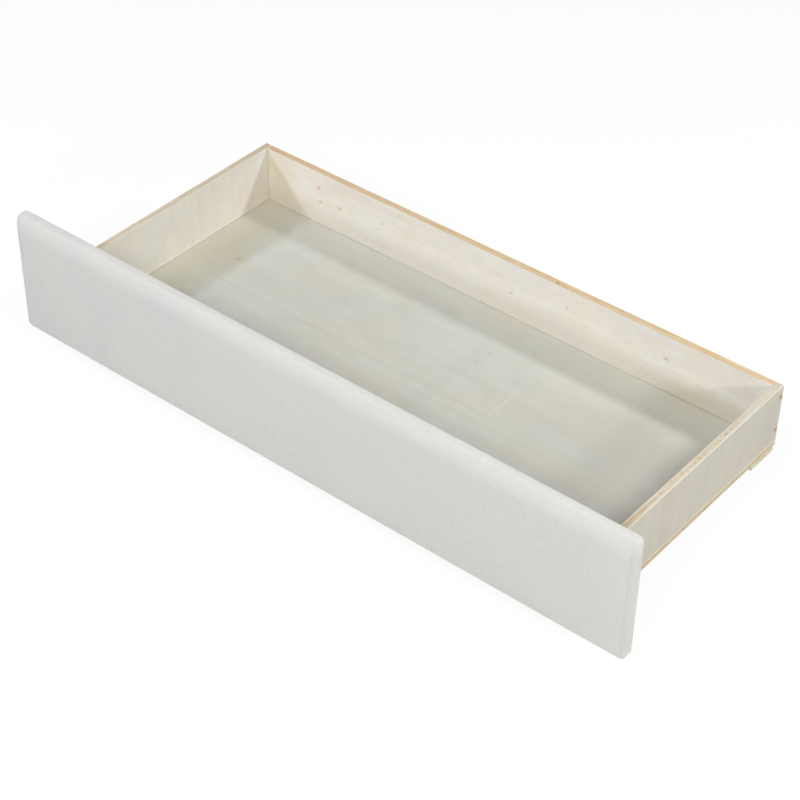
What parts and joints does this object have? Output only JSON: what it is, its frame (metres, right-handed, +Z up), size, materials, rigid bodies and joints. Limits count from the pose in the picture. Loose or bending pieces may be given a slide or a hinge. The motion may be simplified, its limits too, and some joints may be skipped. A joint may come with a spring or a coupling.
{
  "type": "daybed storage drawer",
  "caption": "Pull-out under-bed storage drawer: padded fabric-covered front on a shallow open plywood box that rolls on fixed casters.",
  "frame": {"origin": "on the floor under the middle of the drawer's whole box", "axes": "+X to the right along the front as the person who opens it sees it, +Y from the padded front to the back of the box, +Z up"},
  "size_m": [0.955, 0.413, 0.2045],
  "materials": {
    "upholstery_fabric": "plain woven cloth, light warm grey",
    "padding_foam": "soft sheet foam",
    "fibreboard": "raw fibreboard",
    "nonwoven_lining": "thin nonwoven lining cloth",
    "whitewashed_plywood": "whitewashed veneer, matt lacquer",
    "raw_pine": "planed softwood",
    "zinc_plated_steel": "bright zinc plate",
    "yellow_zinc_screw": "yellow zinc plate",
    "black_nylon": "moulded nylon"
  },
  "bodies": {
    "root": {"front_cover": "upholstery_fabric", "front_foam": "padding_foam", "front_board": "fibreboard", "front_lining": "nonwoven_lining", "left_side": "whitewashed_plywood", "right_side": "whitewashed_plywood", "inner_front": "whitewashed_plywood", "back_panel": "whitewashed_plywood", "bottom_panel": "whitewashed_plywood", "front_batten": "raw_pine", "rear_batten": "raw_pine", "corner_screw_front_left_upper": "yellow_zinc_screw", "corner_screw_front_left_lower": "yellow_zinc_screw", "corner_screw_front_right_upper": "yellow_zinc_screw", "corner_screw_front_right_lower": "yellow_zinc_screw", "corner_screw_rear_left_upper": "yellow_zinc_screw", "corner_screw_rear_left_lower": "yellow_zinc_screw", "corner_screw_rear_right_upper": "yellow_zinc_screw", "corner_screw_rear_right_lower": "yellow_zinc_screw", "front_screw_1": "yellow_zinc_screw", "front_screw_2": "yellow_zinc_screw", "front_screw_3": "yellow_zinc_screw", "front_screw_4": "yellow_zinc_screw", "front_left_caster_bracket": "zinc_plated_steel", "front_right_caster_bracket": "zinc_plated_steel", "rear_left_caster_bracket": "zinc_plated_steel", "rear_right_caster_bracket": "zinc_plated_steel", "front_left_caster_axle": "zinc_plated_steel", "front_right_caster_axle": "zinc_plated_steel", "rear_left_caster_axle": "zinc_plated_steel", "rear_right_caster_axle": "zinc_plated_steel", "front_left_caster_screw_1": "zinc_plated_steel", "front_left_caster_screw_2": "zinc_plated_steel", "front_left_caster_screw_3": "zinc_plated_steel", "front_left_caster_screw_4": "zinc_plated_steel", "front_right_caster_screw_1": "zinc_plated_steel", "front_right_caster_screw_2": "zinc_plated_steel", "front_right_caster_screw_3": "zinc_plated_steel", "front_right_caster_screw_4": "zinc_plated_steel", "rear_left_caster_screw_1": "zinc_plated_steel", "rear_left_caster_screw_2": "zinc_plated_steel", "rear_left_caster_screw_3": "zinc_plated_steel", "rear_left_caster_screw_4": "zinc_plated_steel", "rear_right_caster_screw_1": "zinc_plated_steel", "rear_right_caster_screw_2": "zinc_plated_steel", "rear_right_caster_screw_3": "zinc_plated_steel", "rear_right_caster_screw_4": "zinc_plated_steel"},
    "front_left_wheel_body": {"front_left_wheel": "black_nylon"},
    "front_right_wheel_body": {"front_right_wheel": "black_nylon"},
    "rear_left_wheel_body": {"rear_left_wheel": "black_nylon"},
    "rear_right_wheel_body": {"rear_right_wheel": "black_nylon"}
  },
  "joints": [
    {"name": "front_left_wheel_spin", "type": "hinge", "parent": "root", "child": "front_left_wheel_body", "pos_m": [-0.35, -0.15055, 0.01487], "axis": [1, 0, 0], "continuous": true},
    {"name": "front_right_wheel_spin", "type": "hinge", "parent": "root", "child": "front_right_wheel_body", "pos_m": [0.35, -0.15055, 0.01487], "axis": [1, 0, 0], "continuous": true},
    {"name": "rear_left_wheel_spin", "type": "hinge", "parent": "root", "child": "rear_left_wheel_body", "pos_m": [-0.35, 0.17795, 0.01487], "axis": [1, 0, 0], "continuous": true},
    {"name": "rear_right_wheel_spin", "type": "hinge", "parent": "root", "child": "rear_right_wheel_body", "pos_m": [0.35, 0.17795, 0.01487], "axis": [1, 0, 0], "continuous": true}
  ]
}
